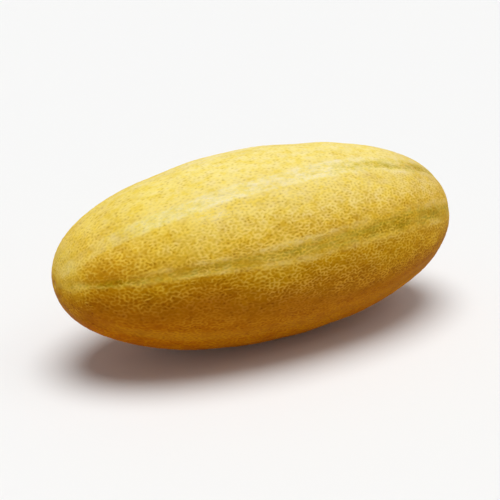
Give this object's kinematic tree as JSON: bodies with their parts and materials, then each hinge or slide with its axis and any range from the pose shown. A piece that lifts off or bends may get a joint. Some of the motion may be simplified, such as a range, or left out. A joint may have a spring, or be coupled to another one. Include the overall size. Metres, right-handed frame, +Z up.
{
  "type": "melon",
  "caption": "Whole long oval netted melon lying on its side, golden skin with pale raised net and shallow lengthwise sutures.",
  "frame": {"origin": "centre of the bounding box at its bottom, on the surface that the fruit's flat spot rests on", "axes": "+X along the fruit from the blossom end to the stem end, +Z up, +Y to complete a right-handed frame"},
  "size_m": [0.3018, 0.1344, 0.1332],
  "materials": {
    "rind": "satin"
  },
  "bodies": {
    "root": {"melon": "rind"}
  },
  "joints": []
}
